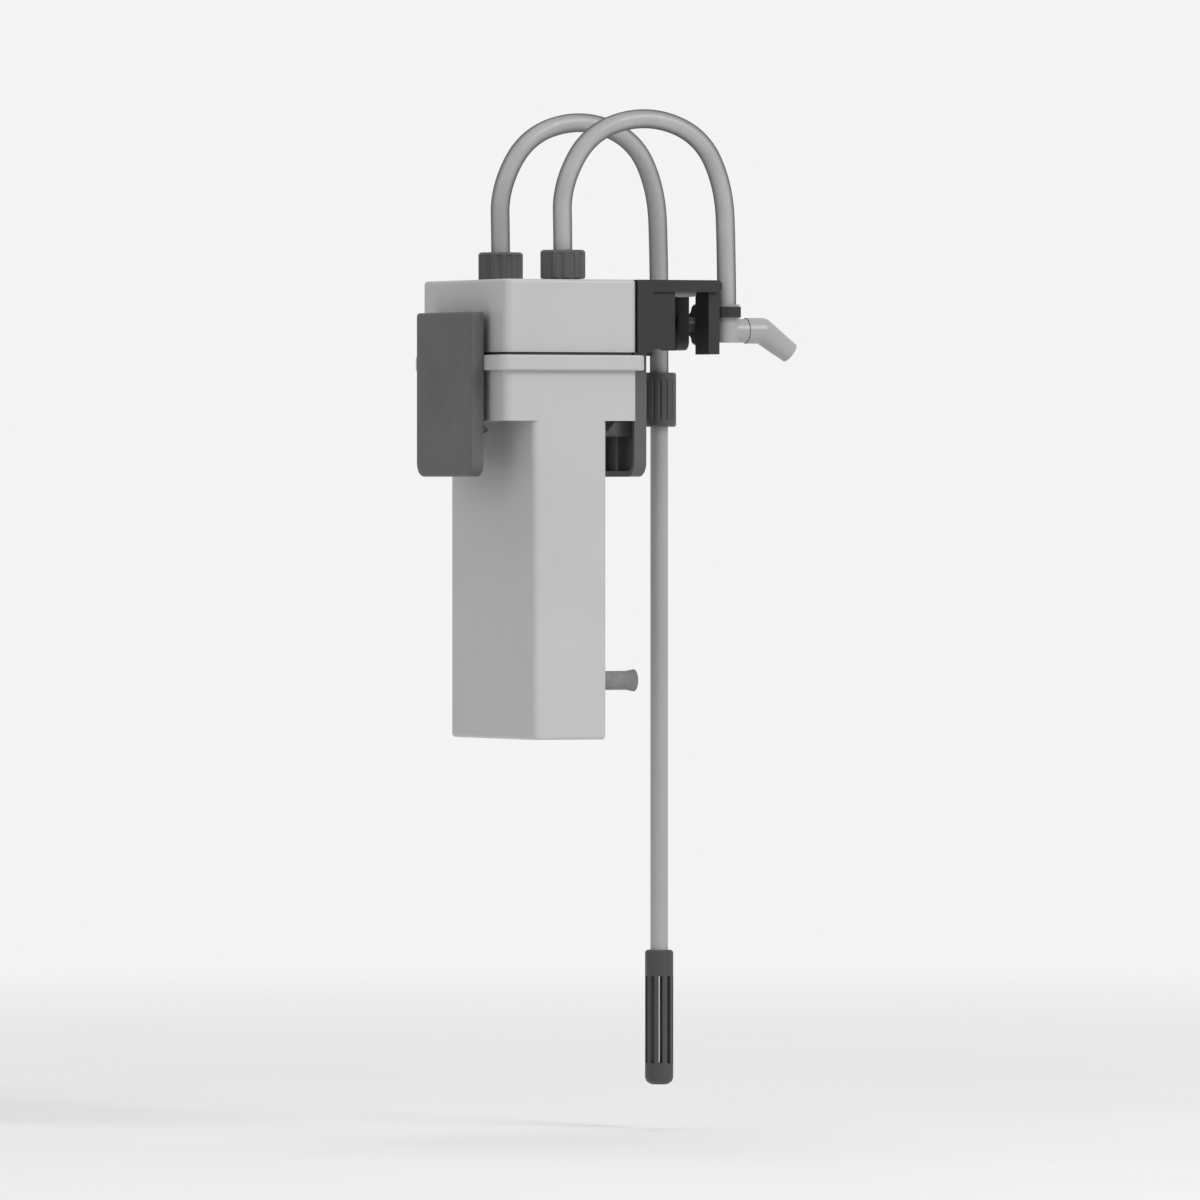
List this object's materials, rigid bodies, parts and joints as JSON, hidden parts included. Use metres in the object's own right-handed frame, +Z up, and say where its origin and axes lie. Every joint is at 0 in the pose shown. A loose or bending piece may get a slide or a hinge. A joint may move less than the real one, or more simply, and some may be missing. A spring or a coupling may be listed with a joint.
{
  "type": "hang-on canister filter",
  "caption": "Slim canister filter that hangs on an aquarium rim: pump head, latched media cup, arched hoses, intake pipe with strainer and a swivelling outlet.",
  "frame": {"origin": "centre of the rim pad's flat underside, where the filter rests on the tank's rim", "axes": "+Z up, +X from the pump head into the tank, +Y along the rim"},
  "size_m": [0.1476, 0.0955, 0.4117],
  "materials": {
    "shell_plastic": "satin moulded",
    "latch_plastic": "satin moulded",
    "hanger_plastic": "satin moulded",
    "nut_plastic": "ribbed satin",
    "base_plastic": "moulded",
    "hose_vinyl": "translucent smoke",
    "pipe_plastic": "moulded smoke grey",
    "strainer_plastic": "moulded",
    "basket_plastic": "moulded",
    "rim_rubber": "matte",
    "black_rubber": "matte",
    "ferrule_plastic": "moulded",
    "impeller_plastic": "moulded",
    "ferrite": "sintered",
    "core_steel": "laminated",
    "coil_wrap": "taped",
    "steel": "stainless",
    "insert_brass": "turned",
    "shaft_ceramic": "ceramic",
    "coarse_foam": "open foam",
    "fine_floss": "fibrous"
  },
  "bodies": {
    "pump_head": {"head_shell": "shell_plastic", "head_base": "base_plastic", "head_o_ring": "black_rubber", "stator_core": "core_steel", "stator_coil": "coil_wrap", "ceramic_shaft": "shaft_ceramic", "shaft_bushes": "black_rubber", "impeller_cover": "base_plastic", "inlet_connector": "base_plastic", "outlet_connector": "base_plastic", "connector_seals": "black_rubber", "cable_gland": "hanger_plastic", "hanger_bracket": "hanger_plastic", "hanger_screws": "steel", "rim_pad": "rim_rubber", "clamp_insert": "insert_brass", "latch_pins": "steel", "intake_hose": "hose_vinyl", "outlet_hose": "hose_vinyl", "intake_coupling": "nut_plastic", "intake_pipe": "pipe_plastic", "outlet_elbow": "pipe_plastic"},
    "cup": {"cup_shell": "shell_plastic", "spacer_tube": "rim_rubber", "spacer_foot": "rim_rubber", "down_pipe": "base_plastic", "media_basket": "basket_plastic", "basket_lid": "basket_plastic", "coarse_sponge": "coarse_foam", "ceramic_rings": "shaft_ceramic", "fine_pad": "fine_floss"},
    "left_latch": {"latch_left": "latch_plastic"},
    "right_latch": {"latch_right": "latch_plastic"},
    "rotor": {"impeller": "impeller_plastic", "rotor_magnet": "ferrite"},
    "inlet_ferrule_ring": {"inlet_ferrule": "ferrule_plastic"},
    "inlet_nut_ring": {"inlet_nut": "nut_plastic"},
    "outlet_ferrule_ring": {"outlet_ferrule": "ferrule_plastic"},
    "outlet_nut_ring": {"outlet_nut": "nut_plastic"},
    "clamp_shoe": {"clamp_pad": "black_rubber"},
    "clamp_knob": {"clamp_screw": "hanger_plastic"},
    "nozzle": {"outlet_nozzle": "pipe_plastic"},
    "strainer_tube": {"strainer": "strainer_plastic", "strainer_cap": "strainer_plastic"}
  },
  "joints": [
    {"name": "cup_drop", "type": "slide", "parent": "pump_head", "child": "cup", "axis": [0, 0, -1], "range_m": [0, 0.024]},
    {"name": "latch_left_swing", "type": "hinge", "parent": "pump_head", "child": "left_latch", "pos_m": [-0.0889, 0, -0.01], "axis": [0, 1, 0], "range_deg": [0, 60.5]},
    {"name": "latch_right_swing", "type": "hinge", "parent": "pump_head", "child": "right_latch", "pos_m": [-0.0162, 0, -0.01], "axis": [0, -1, 0], "range_deg": [0, 27.3]},
    {"name": "impeller_spin", "type": "hinge", "parent": "pump_head", "child": "rotor", "pos_m": [-0.0535, 0, -0.029], "axis": [0, 0, 1], "continuous": true},
    {"name": "inlet_ferrule_rise", "type": "slide", "parent": "pump_head", "child": "inlet_ferrule_ring", "axis": [0, 0, 1], "range_m": [0, 0.0051]},
    {"name": "inlet_nut_turn", "type": "hinge", "parent": "inlet_ferrule_ring", "child": "inlet_nut_ring", "pos_m": [-0.0525, 0.031, 0.013], "axis": [0, 0, 1], "range_deg": [0, 900]},
    {"name": "outlet_ferrule_rise", "type": "slide", "parent": "pump_head", "child": "outlet_ferrule_ring", "axis": [0, 0, 1], "range_m": [0, 0.0051]},
    {"name": "outlet_nut_turn", "type": "hinge", "parent": "outlet_ferrule_ring", "child": "outlet_nut_ring", "pos_m": [-0.0525, -0.031, 0.013], "axis": [0, 0, 1], "range_deg": [0, 900]},
    {"name": "clamp_pad_travel", "type": "slide", "parent": "pump_head", "child": "clamp_shoe", "axis": [-1, 0, 0], "range_m": [0, 0.0046]},
    {"name": "clamp_screw_turn", "type": "hinge", "parent": "clamp_shoe", "child": "clamp_knob", "pos_m": [0.02, 0, -0.011], "axis": [1, 0, 0], "range_deg": [0, 540]},
    {"name": "nozzle_swivel", "type": "hinge", "parent": "pump_head", "child": "nozzle", "pos_m": [0.0345, -0.033, -0.014], "axis": [1, 0, 0], "range_deg": [-90, 90]},
    {"name": "strainer_pull", "type": "slide", "parent": "pump_head", "child": "strainer_tube", "axis": [0, 0, -1], "range_m": [0, 0.012]}
  ],
  "couplings": [
    {"joint": "latch_left_swing", "follows": "cup_drop", "rad_per_m": 43.633},
    {"joint": "latch_right_swing", "follows": "cup_drop", "rad_per_m": 19.635},
    {"joint": "inlet_ferrule_rise", "follows": "inlet_nut_turn", "m_per_rad": 0.00031831},
    {"joint": "outlet_ferrule_rise", "follows": "outlet_nut_turn", "m_per_rad": 0.00031831},
    {"joint": "clamp_pad_travel", "follows": "clamp_screw_turn", "m_per_rad": 0.00047746}
  ]
}
